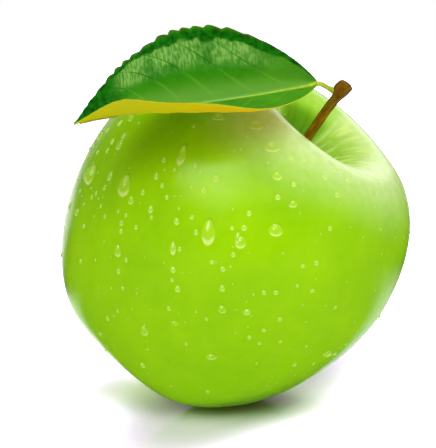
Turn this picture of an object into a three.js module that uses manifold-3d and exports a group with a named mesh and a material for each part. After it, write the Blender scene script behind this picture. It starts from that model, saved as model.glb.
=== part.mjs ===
// A green apple as picked, with its stem, one leaf and the dried calyx, lying on the flank of its calyx end.
// Millimetres, +Z up. The origin is the middle of the small flat spot that the fruit rests on.
// The fruit is drawn upright in a frame of its own, calyx end at height 0, and then leans towards +X.
import * as THREE from 'three';
import { mergeVertices } from 'three/addons/utils/BufferGeometryUtils.js';
import Module from 'manifold-3d';

const wasm = await Module();
wasm.setup();

// The fruit's half outline, as radius from the core line and height above the calyx end.
const FRUIT_RADIUS = 40; // at the girth, where the fruit is widest
const FRUIT_HEIGHT = 72; // calyx end to shoulders
const GIRTH_HEIGHT = 40;
const SHOULDER_RADIUS = 18.5; // of the ring that the shoulders stand highest on
const BASE_RADIUS = 20; // of the ring that the calyx end stands on when upright
const CAVITY_DEPTH = 16.5; // stem cavity, below the shoulders
const BASIN_DEPTH = 6; // calyx basin, above the base ring
// How far each curve of the outline holds its direction, as shares of the radius or height it crosses.
const HOLD = {
  floor: 0.175, lip: 0.5, shoulder: 0.56, cheek: 0.415, flank: 0.535, heel: 0.475, ring: 0.28, basin: 0.3,
};

// What keeps a real fruit from being a turned shape.
const FULLER_SIDE = { share: 0.042, towards: THREE.MathUtils.degToRad(70) };
const OVAL = { share: 0.06, towards: THREE.MathUtils.degToRad(-36) };
const RIBS = { count: 5, share: 0.04, towards: THREE.MathUtils.degToRad(22), atGirth: 0.25 };
const SHOULDER_SLOPE = 0.057; // rise of the shoulders towards the side that the fruit leans to

// How the fruit lies: the lean of its core line towards +X, and where its calyx end is from the resting spot.
const LEAN = THREE.MathUtils.degToRad(40.5);
const CALYX_END = new THREE.Vector3(-23.5, -0.6, 14.4);

const GAP = 0.3; // between pieces that grow from each other

// Stem: a path in the part's frame, from inside the fruit to the knob, with its radius along the way.
const STEM_PATH = [
  [9, -0.4, 52.4], [14.3, -0.8, 58.7], [20.2, -1.6, 65.8], [25.4, -3, 72.8], [30.6, -4, 79.2],
];
const STEM_RADIUS = 1.2;
const STEM_ROOT_RADIUS = 1.6;
const STEM_KNOB_RADIUS = 1.75;
const KNOB_LENGTH = 5.5;

// Leaf: the midrib's four control points, and the width and tilt of the blade's two halves.
const MIDRIB = [[24.7, -8, 79.5], [4.6, -36.9, 76.2], [-16.2, -36.9, 74.7], [-21.2, -45.4, 72.7]];
const BLUNT = 0.35; // half width at the very ends of the blade
const TIP_POINT = 1.58; // a higher value makes the tip more pointed, as each half's base does at the stalk
const BLADE_THICKNESS = 0.7;
const TEETH = { count: 20, height: 0.65, point: 0.75, from: 0.06, full: 0.3 };
const WAVES = { count: 3.2, height: 0.4 };
// Angles above the horizontal, at the leaf's base and tip, next to the midrib and at the margin.
const BACK_HALF = { width: 17, base: 0.88, rib: [78, 80], margin: [97, 26] };
const FRONT_HALF = { width: 19.2, base: 1.1, rib: [-34, 21], margin: [8, 53] };
const PETIOLE_START = [26.9, -4.45, 77.75];
const PETIOLE_RADIUS = 0.65;
const RIB_RADIUS = { base: 0.75, tip: 0.35 };

// Calyx: five dried sepals on a small disc at the bottom of the basin.
const SEPALS = 5;
const CALYX_DISC = { radius: 2.6, above: 1.4, sunk: 1.2 };
// Radius from the core line, and height from the bottom of the basin, which opens downwards.
const SEPAL_PATH = [[1.1, 0.2], [2.5, -1.2], [3.3, -3.2], [4.6, -4.9], [6.2, -5.4]];
const SEPAL = { halfWidth: 1.5, halfThickness: 0.42, tip: 0.25 };

const FRUIT_FACETS = { around: 72, cavity: 10, shoulder: 11, flank: 12, basin: 7 };
const BLADE_FACETS = { perTooth: 4, perHalf: 4 };

// A closed mesh with shared vertices and no collapsed faces, from any geometry whose surface is closed.
function closedMesh(geometry) {
  const bare = new THREE.BufferGeometry().setAttribute('position', geometry.getAttribute('position'));
  bare.setIndex(geometry.index);
  const merged = mergeVertices(bare, 1e-4);
  const source = merged.index.array;
  const kept = [];
  for (let i = 0; i < source.length; i += 3) {
    const [a, b, c] = [source[i], source[i + 1], source[i + 2]];
    if (a !== b && b !== c && c !== a) kept.push(a, b, c);
  }
  merged.setIndex(kept);
  return merged;
}

function solidOf(geometry) {
  const mesh = closedMesh(geometry);
  return new wasm.Manifold(new wasm.Mesh({
    numProp: 3,
    vertProperties: new Float32Array(mesh.getAttribute('position').array),
    triVerts: new Uint32Array(mesh.index.array),
  }));
}

function geometryOf(solid) {
  const { vertProperties, triVerts } = solid.getMesh();
  const geometry = new THREE.BufferGeometry();
  geometry.setAttribute('position', new THREE.BufferAttribute(vertProperties, 3));
  geometry.setIndex(new THREE.BufferAttribute(triVerts, 1));
  geometry.computeVertexNormals();
  return geometry;
}

function piece(name, solid, material) {
  const mesh = new THREE.Mesh(geometryOf(solid), new THREE.MeshStandardMaterial(material));
  mesh.name = name;
  return mesh;
}

const vectors = (list) => list.map((p) => new THREE.Vector3(...p));

// From the upright fruit's own frame to the part's frame.
const lying = new THREE.Matrix4().makeRotationY(LEAN).setPosition(CALYX_END);

// A tube along a curve whose half width and half thickness change on the way, closed flat at both ends.
function sweep(curve, steps, sides, sizeAt) {
  const { normals, binormals } = curve.computeFrenetFrames(steps, false);
  const positions = [];
  const index = [];
  for (let i = 0; i <= steps; i++) {
    const centre = curve.getPointAt(i / steps);
    const [width, thickness] = sizeAt(i / steps);
    for (let j = 0; j < sides; j++) {
      const turn = (2 * Math.PI * j) / sides;
      const point = centre.clone()
        .addScaledVector(normals[i], width * Math.cos(turn))
        .addScaledVector(binormals[i], thickness * Math.sin(turn));
      positions.push(...point.toArray());
    }
  }
  const at = (i, j) => i * sides + (j % sides);
  for (let i = 0; i < steps; i++) {
    for (let j = 0; j < sides; j++) {
      index.push(at(i, j), at(i, j + 1), at(i + 1, j), at(i, j + 1), at(i + 1, j + 1), at(i + 1, j));
    }
  }
  for (let j = 1; j < sides - 1; j++) {
    index.push(at(0, 0), at(0, j + 1), at(0, j), at(steps, 0), at(steps, j), at(steps, j + 1));
  }
  const geometry = new THREE.BufferGeometry();
  geometry.setAttribute('position', new THREE.Float32BufferAttribute(positions, 3));
  geometry.setIndex(index);
  return geometry;
}

// The half outline, from the floor of the stem cavity over the shoulder and girth to the calyx basin.
function fruitOutline() {
  const floor = [0, FRUIT_HEIGHT - CAVITY_DEPTH];
  const shoulder = [SHOULDER_RADIUS, FRUIT_HEIGHT];
  const girth = [FRUIT_RADIUS, GIRTH_HEIGHT];
  const ring = [BASE_RADIUS, 0];
  const basin = [0, BASIN_DEPTH];
  const shoulderWidth = FRUIT_RADIUS - SHOULDER_RADIUS;
  const heelWidth = FRUIT_RADIUS - BASE_RADIUS;
  const cheekHeight = FRUIT_HEIGHT - GIRTH_HEIGHT;
  const curve = (...ends) => new THREE.CubicBezierCurve(...ends.map((p) => new THREE.Vector2(...p)));
  const stretches = [
    [curve(floor, [HOLD.floor * SHOULDER_RADIUS, floor[1]],
      [(1 - HOLD.lip) * SHOULDER_RADIUS, FRUIT_HEIGHT], shoulder), FRUIT_FACETS.cavity],
    [curve(shoulder, [SHOULDER_RADIUS + HOLD.shoulder * shoulderWidth, FRUIT_HEIGHT],
      [FRUIT_RADIUS, GIRTH_HEIGHT + HOLD.cheek * cheekHeight], girth), FRUIT_FACETS.shoulder],
    [curve(girth, [FRUIT_RADIUS, (1 - HOLD.flank) * GIRTH_HEIGHT],
      [BASE_RADIUS + HOLD.heel * heelWidth, 0], ring), FRUIT_FACETS.flank],
    [curve(ring, [(1 - HOLD.ring) * BASE_RADIUS, 0],
      [HOLD.basin * BASE_RADIUS, BASIN_DEPTH], basin), FRUIT_FACETS.basin],
  ];
  const points = stretches.flatMap(([stretch, facets]) => stretch.getPoints(facets).slice(0, -1));
  return [...points, new THREE.Vector2(...basin)];
}

// The turned shape made uneven: fuller on one side, slightly oval, ribbed towards both ends.
function unevenFruit(point) {
  const radius = Math.hypot(point.x, point.y);
  const turn = Math.atan2(point.y, point.x);
  const outwards = radius / FRUIT_RADIUS;
  const up = THREE.MathUtils.clamp(point.z / FRUIT_HEIGHT, 0, 1);
  const ribbed = 1 - (1 - RIBS.atGirth) * Math.sin(Math.PI * up);
  const swelling = 1 + outwards * (
    FULLER_SIDE.share * Math.cos(turn - FULLER_SIDE.towards)
    + OVAL.share * Math.cos(2 * (turn - OVAL.towards))
    + RIBS.share * ribbed * Math.cos(RIBS.count * (turn - RIBS.towards)));
  const lift = 1 + (SHOULDER_SLOPE / FRUIT_HEIGHT) * point.x * swelling;
  return point.set(point.x * swelling, point.y * swelling, point.z * lift);
}

function fruitSkin() {
  const turned = new THREE.LatheGeometry(fruitOutline().reverse(), FRUIT_FACETS.around);
  turned.rotateX(Math.PI / 2);
  const position = turned.getAttribute('position');
  const point = new THREE.Vector3();
  for (let i = 0; i < position.count; i++) {
    point.fromBufferAttribute(position, i);
    unevenFruit(point).applyMatrix4(lying);
    position.setXYZ(i, point.x, point.y, point.z);
  }
  return solidOf(turned);
}

// Thick where it grows out of the fruit, slender on the way, swollen at the end that left the twig.
function stemTube(extra) {
  const path = new THREE.CatmullRomCurve3(vectors(STEM_PATH));
  const length = path.getLength();
  const rootReach = 7;
  const rim = 0.6; // the knob's end is rounded over this length
  return solidOf(sweep(path, 26, 16, (t) => {
    const along = t * length;
    const root = (STEM_ROOT_RADIUS - STEM_RADIUS) * Math.max(0, 1 - along / rootReach) ** 2;
    const swelling = THREE.MathUtils.smoothstep(along, length - KNOB_LENGTH, length - 2 * rim);
    const knob = (STEM_KNOB_RADIUS - STEM_RADIUS) * swelling;
    const closing = Math.max(0, (along - length + rim) / rim);
    const rounded = (STEM_RADIUS + root + knob) * Math.sqrt(1 - 0.75 * closing ** 2) + extra;
    return [rounded, rounded];
  }));
}

// Where the dried calyx stands: its disc's outer face, at the bottom of the basin, in the fruit's own frame.
function calyxDisc(extra) {
  const { radius, above, sunk } = CALYX_DISC;
  const disc = new THREE.CylinderGeometry(radius + extra, radius + extra, above + sunk + 2 * extra, 20);
  disc.rotateX(Math.PI / 2);
  disc.translate(0, 0, BASIN_DEPTH + (sunk - above) / 2);
  return solidOf(disc.applyMatrix4(lying));
}

function calyx() {
  const path = new THREE.CatmullRomCurve3(
    SEPAL_PATH.map(([radius, height]) => new THREE.Vector3(radius, 0, BASIN_DEPTH + height)));
  let made = calyxDisc(0);
  for (let i = 0; i < SEPALS; i++) {
    const sepal = sweep(path, 9, 8, (t) => {
      const taper = SEPAL.tip + (1 - SEPAL.tip) * Math.sin(Math.PI * (0.3 + 0.7 * t));
      return [SEPAL.halfWidth * taper, SEPAL.halfThickness * Math.sqrt(taper)];
    });
    sepal.rotateZ(RIBS.towards + (2 * Math.PI * i) / SEPALS);
    made = made.add(solidOf(sepal.applyMatrix4(lying)));
  }
  return made;
}

function fruit() {
  const below = new THREE.BoxGeometry(4 * FRUIT_RADIUS, 4 * FRUIT_RADIUS, FRUIT_RADIUS);
  below.translate(0, 0, -FRUIT_RADIUS / 2);
  return fruitSkin().subtract(solidOf(below)).subtract(stemTube(GAP)).subtract(calyxDisc(GAP));
}

const between = ([start, end], t) => THREE.MathUtils.degToRad(start + (end - start) * t);

// How wide a half of the blade is from the midrib out, as a share of its greatest width.
function bladeOutline(half, t) {
  if (t <= 0 || t >= 1) return 0;
  const widest = half.base / (half.base + TIP_POINT);
  return (t / widest) ** half.base * ((1 - t) / (1 - widest)) ** TIP_POINT;
}

// Teeth that point towards the leaf's tip, small next to the stalk.
function toothHeight(half, t) {
  const phase = (t * TEETH.count) % 1;
  const rising = Math.sin((Math.PI / 2) * (phase / TEETH.point));
  const rise = phase < TEETH.point ? rising : (1 - phase) / (1 - TEETH.point);
  const fading = THREE.MathUtils.smoothstep(t, TEETH.from, TEETH.full);
  return TEETH.height * rise * fading * Math.min(1, 2 * bladeOutline(half, t));
}

// A point of the blade: t runs from base to tip, across from -1 at the front margin to 1 at the back one.
function bladePoint(midrib, t, across) {
  const centre = midrib.getPoint(t);
  const tangent = midrib.getTangent(t);
  const back = new THREE.Vector3(0, 0, 1).cross(tangent).normalize().negate();
  const up = back.clone().cross(tangent);
  const half = across > 0 ? BACK_HALF : FRONT_HALF;
  const share = Math.abs(across);
  const start = between(half.rib, t);
  const turned = between(half.margin, t) - start;
  const bend = Math.abs(turned) < 1e-3 ? 1e-3 : turned;
  const outline = bladeOutline(half, t);
  const width = BLUNT + half.width * outline;
  // The half blade is an arc: its angle turns evenly from the midrib to the margin.
  const outwards = (width * (Math.sin(start + bend * share) - Math.sin(start))) / bend;
  const upwards = (width * (Math.cos(start) - Math.cos(start + bend * share))) / bend;
  const angle = start + bend * share;
  const tooth = share === 1 ? toothHeight(half, t) : 0;
  const wave = WAVES.height * share ** 2 * Math.sin(2 * Math.PI * WAVES.count * t) * outline;
  const side = Math.sign(across) || 1;
  return centre
    .addScaledVector(back, side * (outwards + tooth * Math.cos(angle) - wave * Math.sin(angle)))
    .addScaledVector(up, upwards + tooth * Math.sin(angle) + wave * Math.cos(angle));
}

// The blade's upper face, and its lower face one thickness further down, split into triangles alike.
function blade(midrib) {
  const rows = TEETH.count * BLADE_FACETS.perTooth;
  const columns = 2 * BLADE_FACETS.perHalf;
  const at = (i, j) => i * (columns + 1) + j;
  const upper = [];
  for (let i = 0; i <= rows; i++) {
    for (let j = 0; j <= columns; j++) upper.push(bladePoint(midrib, i / rows, (2 * j) / columns - 1));
  }
  const sheet = [];
  for (let i = 0; i < rows; i++) {
    for (let j = 0; j < columns; j++) {
      sheet.push([at(i, j), at(i + 1, j), at(i, j + 1)], [at(i, j + 1), at(i + 1, j), at(i + 1, j + 1)]);
    }
  }
  const smooth = new THREE.BufferGeometry().setFromPoints(upper);
  smooth.setIndex(sheet.flat());
  smooth.computeVertexNormals();
  const normals = smooth.getAttribute('normal');
  const normal = new THREE.Vector3();
  const positions = [];
  const offset = (sign) => upper.forEach((p, k) => {
    normal.fromBufferAttribute(normals, k);
    positions.push(...p.clone().addScaledVector(normal, (sign * BLADE_THICKNESS) / 2).toArray());
  });
  offset(1);
  offset(-1);
  const lower = upper.length;
  const index = sheet.flatMap(([a, b, c]) => [a, b, c, lower + a, lower + c, lower + b]);
  const edge = (a, b) => index.push(a, lower + a, b, b, lower + a, lower + b);
  for (let i = 0; i < rows; i++) {
    edge(at(i, 0), at(i + 1, 0));
    edge(at(i + 1, columns), at(i, columns));
  }
  for (let j = 0; j < columns; j++) {
    edge(at(0, j + 1), at(0, j));
    edge(at(rows, j), at(rows, j + 1));
  }
  const geometry = new THREE.BufferGeometry();
  geometry.setAttribute('position', new THREE.Float32BufferAttribute(positions, 3));
  geometry.setIndex(index);
  return geometry;
}

// The stalk runs on under the blade as the midrib, thinner towards the tip.
function leaf() {
  const midrib = new THREE.CubicBezierCurve3(...vectors(MIDRIB));
  const underside = [0.05, 0.2, 0.4, 0.6, 0.8, 0.93].map(
    (t) => midrib.getPoint(t).add(new THREE.Vector3(0, 0, -BLADE_THICKNESS / 2)));
  const start = new THREE.Vector3(...PETIOLE_START);
  const bow = start.clone().lerp(midrib.getPoint(0), 0.5).add(new THREE.Vector3(0, 0, 0.1));
  const path = new THREE.CatmullRomCurve3([start, bow, midrib.getPoint(0), ...underside]);
  const petioleShare = 0.14;
  const stalk = sweep(path, 40, 8, (t) => {
    const alongRib = Math.max(0, (t - petioleShare) / (1 - petioleShare));
    const swollen = t < petioleShare ? PETIOLE_RADIUS : RIB_RADIUS.base;
    const radius = THREE.MathUtils.lerp(swollen, RIB_RADIUS.tip, alongRib);
    return [radius, radius];
  });
  return solidOf(blade(midrib)).add(solidOf(stalk));
}

const apple = new THREE.Group();
apple.add(piece('fruit', fruit(), { color: 0x8fd014, roughness: 0.25, metalness: 0 }));
apple.add(piece('stem', stemTube(0), { color: 0x6f4708, roughness: 0.75, metalness: 0 }));
apple.add(piece('leaf', leaf(), { color: 0x2a8a12, roughness: 0.45, metalness: 0 }));
apple.add(piece('calyx', calyx(), { color: 0x5c4a25, roughness: 0.9, metalness: 0 }));

export default apple;
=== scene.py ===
import math
import random

import bmesh
import bpy
import numpy as np
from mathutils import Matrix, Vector
from mathutils.bvhtree import BVHTree


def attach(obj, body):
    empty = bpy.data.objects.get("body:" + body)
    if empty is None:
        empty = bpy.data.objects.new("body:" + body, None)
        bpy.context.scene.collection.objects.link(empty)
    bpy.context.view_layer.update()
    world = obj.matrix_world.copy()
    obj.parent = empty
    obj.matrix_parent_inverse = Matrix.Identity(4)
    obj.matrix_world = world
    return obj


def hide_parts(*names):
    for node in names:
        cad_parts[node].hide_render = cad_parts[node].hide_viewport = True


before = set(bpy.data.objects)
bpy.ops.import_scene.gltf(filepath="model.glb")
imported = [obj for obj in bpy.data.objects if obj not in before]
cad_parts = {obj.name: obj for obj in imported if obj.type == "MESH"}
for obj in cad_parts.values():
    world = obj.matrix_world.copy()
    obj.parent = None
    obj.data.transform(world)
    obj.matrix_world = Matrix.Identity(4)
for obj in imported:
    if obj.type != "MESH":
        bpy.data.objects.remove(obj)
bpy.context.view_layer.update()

MM = 0.001
SEED = 7
ANY_PHASE = (0, 6.28)  # radians

# The fruit's half outline, upright, as radius from the core line and height above the calyx end
FRUIT_RADIUS = 40.0
FRUIT_HEIGHT = 72.0
GIRTH_HEIGHT = 40.0
SHOULDER_RADIUS = 18.5
BASE_RADIUS = 20.0
CAVITY_DEPTH = 16.5
BASIN_DEPTH = 6.0
HOLD = {
    "floor": 0.175, "lip": 0.5, "shoulder": 0.56, "cheek": 0.415,
    "flank": 0.535, "heel": 0.475, "ring": 0.28, "basin": 0.3,
}
FULLER_SIDE = {"share": 0.042, "towards": math.radians(70)}
OVAL = {"share": 0.06, "towards": math.radians(-36)}
RIBS = {"count": 5, "share": 0.04, "towards": math.radians(22), "at_girth": 0.25}
SHOULDER_SLOPE = 0.057
LEAN = math.radians(40.5)
CALYX_END = np.array([-23.5, -0.6, 14.4])
CORE_LINE = np.array([math.sin(LEAN), 0.0, math.cos(LEAN)])
FRUIT_MIDDLE = CALYX_END + CORE_LINE * FRUIT_HEIGHT / 2

# Relief of the skin
FURROWS = {"depth": 0.26, "counts": (13, 21, 34), "sway": 0.6, "sways": 3,
           "from": 1.5, "deepest": 5.0, "to": 17.0}
LUMPS = {"height": 0.0095258, "count": 40, "shortest": 9.0, "longest": 26.0}
FRUIT_ROWS = {"cavity": 56, "shoulder": 48, "flank": 60, "basin": 30}
FRUIT_AROUND = 256

# Stem
STEM_PATH = [(9, -0.4, 52.4), (14.3, -0.8, 58.7), (20.2, -1.6, 65.8), (25.4, -3, 72.8), (30.6, -4, 79.2)]
STEM_RADIUS = {"root": 1.6, "shaft": 1.12, "knob": 1.72}
STEM_ROOT_REACH = 7.0
STEM_MESH = {"around": 48, "rows": 200}
KNOB = {"length": 5.5, "rounding": 0.6, "narrowing": 0.8, "hollow": 0.25}
BARK_RIDGES = {"share": 0.045, "twist": 0.25, "counts_and_pitches": ((5, 2.1), (9, 1.3), (14, 0.9))}
BARK_RINGS = {"share": 0.03, "pitches": (0.55, 0.9, 1.7)}
STALK_SCAR = {"before_end": 2.2, "height": 0.5, "reach": 1.5}

# Leaf
MIDRIB = [(24.7, -8, 79.5), (4.6, -36.9, 76.2), (-16.2, -36.9, 74.7), (-21.2, -45.4, 72.7)]
BLADE_LENGTH = 62.0  # along the midrib, for the pattern of the blade
BLUNT = 0.3
TIP_POINT = 1.58
BLADE_THICKNESS = 0.36
THIN_MARGIN = 0.55  # how much of its thickness the blade loses at the margin
TEETH = {"count": 20, "height": 0.65, "point": 0.75, "from": 0.06, "full": 0.3}
WAVES = {"count": 3.2, "height": 0.4}
BACK_HALF = {"width": 17.0, "base": 0.88, "rib": (78, 80), "margin": (97, 26), "teeth": 1.0}
FRONT_HALF = {"width": 19.2, "base": 1.1, "rib": (-34, 21), "margin": (8, 53), "teeth": 0.3}
SIDE_VEINS = {"first": 0.06, "step": 0.118, "count": 8, "sweep": 0.2, "curl": 0.09, "apart": 7.3}
VEIN_WIDTH = {"midrib": 0.42, "side": 0.27}
VEIN_DEPTH = {"midrib": 0.1, "side": 0.09, "pillow": 0.07}
LEAF_VALUES = ("along", "across", "share", "vein", "midrib", "margin")  # held by the points of the blade
BLADE_MESH = {"rows": 401, "columns_a_half": 48}
PETIOLE_START = (27.2, -4.3, 77.6)
PETIOLE_RADIUS = 0.62
PETIOLE_FOOT = {"extra": 0.25, "reach": 1.5}
RIB_RADIUS = {"base": 0.72, "tip": 0.2}
RIB_UNDER_BLADE = [0.04, 0.2, 0.4, 0.6, 0.8, 0.95]  # shares of the midrib that the stalk runs on through
STALK_MESH = {"around": 20, "rows": 160}

# Calyx: sepals, stamens, and the disc's profile as height above the basin's floor and share of its radius
SEPALS = 5
SEPAL_PATH = [(1.1, 0.2), (2.5, -1.2), (3.3, -3.2), (4.6, -4.9), (6.2, -5.4)]
SEPAL = {"half_width": 1.45, "half_thickness": 0.3, "tip": 0.2}
SEPAL_MESH = {"around": 20, "rows": 40}
STAMENS = {"count": 14, "ring": 1.3, "length": 3.2, "radius": 0.12, "spread": 0.9, "turn": 0.15}
STAMEN_MESH = {"around": 6, "rows": 12}
CALYX_DISC_RADIUS = 2.6
CALYX_DISC = [(0.9, 0.98), (0.2, 1.0), (-0.7, 0.98), (-1.15, 0.75), (-1.3, 0.35)]

# Camera, from the photograph's perspective: its pixels are in a frame 436 wide and 448 high
PHOTO_WIDTH, PHOTO_HEIGHT = 436, 448
AZIMUTH = math.radians(19.5)
ELEVATION = math.radians(10)
CAMERA_DISTANCE = 600.0
PIXELS_PER_MM = 4.137  # at the fruit's middle
MIDDLE_IN_PHOTO = (227.9, 231.3)  # pixel that the fruit's middle falls on
SENSOR = 36.0
# Level directions towards the camera and to the right of the picture, and straight up
TOWARD = Vector((math.sin(AZIMUTH), -math.cos(AZIMUTH), 0))
RIGHT = Vector((math.cos(AZIMUTH), math.sin(AZIMUTH), 0))
UP = Vector((0, 0, 1))

# Water drops seen in the photograph: pixel x and y of the middle, then width and length in millimetres
LARGE_DROPS = [
    (91.6, 174.5, 4.6, 5.2), (125, 185, 4.0, 5.6), (208.5, 231.5, 3.3, 6.2), (275.8, 229.8, 3.2, 3.3),
    (240.7, 241.7, 2.5, 3.4), (144.4, 330.2, 2.2, 2.8), (222.2, 309.1, 2.1, 2.1), (247, 312, 1.7, 1.7),
    (218.4, 117.2, 3.2, 2.0), (256, 125.3, 3.6, 2.6), (272.3, 147, 4.0, 2.6), (277.2, 175.8, 2.2, 2.1),
    (293.3, 203.8, 1.9, 1.9), (216, 178, 1.5, 2.0), (182, 154.5, 2.2, 5.4), (118, 250.4, 1.9, 3.1),
    (173, 248, 1.5, 3.2), (110.5, 175.8, 1.5, 2.7), (131.2, 199.9, 1.9, 2.1), (77.2, 212, 2.0, 2.1),
    (120.3, 144.2, 2.0, 3.4), (131.2, 118.4, 2.4, 1.9), (211.4, 356.3, 2.9, 1.7), (327, 353, 2.9, 1.9),
    (101, 136, 2.0, 2.6), (238, 237.8, 1.3, 2.9),
]
SMALL_DROPS = [
    (112.8, 141.3, 1.5, 1.9), (101.3, 133.6, 1.4, 1.5), (107.6, 150.5, 1.2, 1.5), (97.9, 152.2, 1.2, 1.3),
    (120.3, 123, 1.6, 2.0), (156.4, 175.8, 1.2, 1.9), (162.2, 185.5, 1.1, 1.3), (163.9, 159.7, 1.2, 1.6),
    (150.7, 209, 1.3, 2.1), (121.4, 222.8, 1.3, 1.5), (176.5, 221.1, 1.3, 1.8), (233.3, 254.4, 1.2, 1.3),
    (118.5, 271, 1.1, 1.5), (244.2, 227.7, 1.4, 1.5), (249.1, 213, 1.2, 1.4), (277.9, 196.8, 1.2, 1.6),
    (294, 184.2, 1.2, 1.2), (291, 158, 1.1, 1.0), (304, 160, 1.1, 1.0), (312, 160, 1.1, 0.9),
    (335, 171, 1.3, 1.1), (348, 180, 1.4, 1.2), (379.6, 183.5, 1.0, 1.1), (122.7, 288, 1.0, 1.0),
    (173, 269.6, 1.4, 1.6), (177.6, 288.7, 1.4, 1.8), (222.2, 288, 1.3, 1.8), (168.6, 308.5, 1.1, 1.2),
    (174.4, 323, 2.0, 1.2), (280, 319.3, 1.4, 1.2), (335.4, 307.2, 1.1, 1.1), (264, 330.2, 1.1, 1.1),
    (280.6, 341.6, 1.0, 1.0), (316.5, 262.8, 1.3, 1.3), (303, 266, 1.1, 1.1), (312.5, 290.6, 1.2, 1.2),
    (276, 292.5, 1.2, 1.3), (264, 292.5, 1.1, 1.2), (87.6, 142.5, 1.2, 1.2), (81, 154, 1.2, 1.4),
    (71.5, 177, 1.1, 1.6), (63.4, 204.5, 1.3, 2.1), (106, 350, 1.1, 1.1), (142.5, 386, 1.1, 1.1),
    (378, 320, 1.2, 1.2), (368, 333, 1.2, 1.2), (92, 197, 1.1, 1.3), (84, 226, 1.1, 1.3),
    (136, 227, 1.0, 1.4), (196, 232, 1.0, 1.5), (212, 262, 1.0, 1.1), (232, 228, 1.0, 1.1),
    (101, 206, 0.9, 1.2), (105, 216, 0.9, 1.2), (84, 204, 0.9, 1.1), (105, 187, 1.1, 1.7),
    (96.4, 193, 1.0, 1.3), (143, 192, 1.1, 1.5), (167, 197, 1.0, 1.2), (195.6, 165, 1.2, 1.4),
    (204, 190, 1.4, 1.5), (124, 136, 1.5, 2.2), (108, 130, 1.4, 1.7), (126, 215, 0.9, 1.1),
    (179.5, 249, 0.9, 1.3), (192, 217, 1.0, 1.2), (151.5, 217, 0.9, 1.1), (121, 231, 1.1, 1.5),
]
DROP_MESH = {"large": (9, 28), "small": (5, 16), "mist": (4, 12)}  # rings, and points around
DROP_TAIL = {"long": 0.16, "round": 0.05, "mist": 0.08}  # how much the lower end is wider than the upper
MIST = {"count": 270, "tries": 5400, "smallest": 0.35, "largest": 1.25, "apart": 0.7, "lowest": 3.0,
        "off_core_line": 19.0}
DROP_HEIGHT = 0.36  # as a share of the width
DROP_SUNK = 0.05
DROP_SKIRT = 0.35
SMALLEST_SHADED_DROP = 1.7  # narrower drops get more painted light all over
WET_HEIGHT = 0.025  # how far the wet skin under a drop stands over the dry skin, so that it shows

# Zones of the skin, in metres: out from the core line, and up from the calyx end. The leaf shade zone holds
# painted shadow, and the shoulder zone is partly painted sheen
SHOULDER_ZONE = {"out": (0.034, 0.018), "in": (0.009, 0.018), "up": (0.052, 0.066)}
CAVITY_ZONE = {"out": (0.0115, 0.004), "up": (0.05, 0.054)}
FURROW_ZONE = {"out": (0.019, 0.013), "in": (0.005, 0.009)}
LEAF_SHADE_ZONE = {"out": (0.014, 0.0105), "facing": (0.7, 0.96)}
LEAF_SHADOW_SIDE = (-0.574, 0.819, 0)  # across the upright core line, towards the side of the cavity where the leaf's shadow is painted

STEM_LIGHT_AND_SHADE = (0.069, 0.077, 1.32, 0.74)  # two heights over the table, and how bright the bark is painted at each: painted light low on the stem, painted shade on the knob

# Studio: strengths of the light, and angles in degrees. The skin mirrors none of the side lights and panels;
# it mirrors a white backdrop behind the fruit and two soft windows, where the photograph shows their image.
EVEN_LIGHT = 0.04
SIDE_LIGHTS = {"front": (2.5, 0.48, 0.85), "right": (0.7, -0.3, 0.35), "left": (0.38, -0.3, 0.35),
               "back": (0.8, -0.3, 0.35)}  # strength, and how steeply the lowest and highest light falls
BACKDROP = {"inner": 14, "outer": 29, "strength": 0.5}
OVERHEAD = {"inner": 8, "outer": 20, "strength": 1.6}
WINDOW = {"inner": 8, "outer": 24, "strength": 8.0}
HIGHLIGHT_IN_PHOTO = (213, 163)
SHEEN_IN_PHOTO = (374, 158)
MIRROR_PROBE = (-12, 0, 12)  # pixels around a highlight that the skin's slope is averaged over

# The table's colour is tinted against the green light that the fruit throws on it, is painted brighter away
# from the fruit so that it turns white there, and carries a painted contact shadow
FLOOR_SIZE = 1700.0
FLOOR_BELOW = 0.02
TABLE = {"near": (0.94, 0.86, 1.0, 1.0), "far": (2.55, 2.05, 3.2, 1.0)}
POLISH = {"share": 0.24, "roughness": 0.1, "fades": (16, 44), "stretch": (1.5, 0.5, 1.0),
          "tint": (1.0, 0.85, 1.0, 1.0)}
# Painted contact shadow on the table round the fruit's foot
CONTACT_SHADOW = {"from": 8, "to": 19, "shade": (0.25, 0.12, 0.28, 1.0)}
FLOOR_GLOW = 0.125  # the table is lit from below too, which reaches the underside of the fruit
MIRRORED_FLOOR = {"strength": 1.4, "everywhere": 0.03, "close": (140, 80), "close_gain": 1.4}
WHITE = (1, 1, 1, 1)


def linear(red, green, blue):
    """A colour picked as it looks on a screen, 0 to 255, as the linear light that a shader takes."""
    def light(value):
        value = value / 255
        return value / 12.92 if value <= 0.04045 else ((value + 0.055) / 1.055) ** 2.4
    return (light(red), light(green), light(blue), 1.0)


def smoothstep(value, low, high):
    share = np.clip((value - low) / (high - low), 0.0, 1.0)
    return share * share * (3 - 2 * share)


def unit(vectors):
    return vectors / np.maximum(np.linalg.norm(vectors, axis=-1, keepdims=True), 1e-9)


def full_turn(count):
    """Angles evenly spaced round a circle."""
    return np.linspace(0, 2 * math.pi, count, endpoint=False)


def bezier(points, shares):
    """Points of a cubic curve with four control points, at shares from 0 to 1."""
    start, first, second, end = (np.asarray(p, float) for p in points)
    t = np.asarray(shares, float)[:, None]
    return (1 - t) ** 3 * start + 3 * (1 - t) ** 2 * t * first + 3 * (1 - t) * t * t * second + t ** 3 * end


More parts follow.
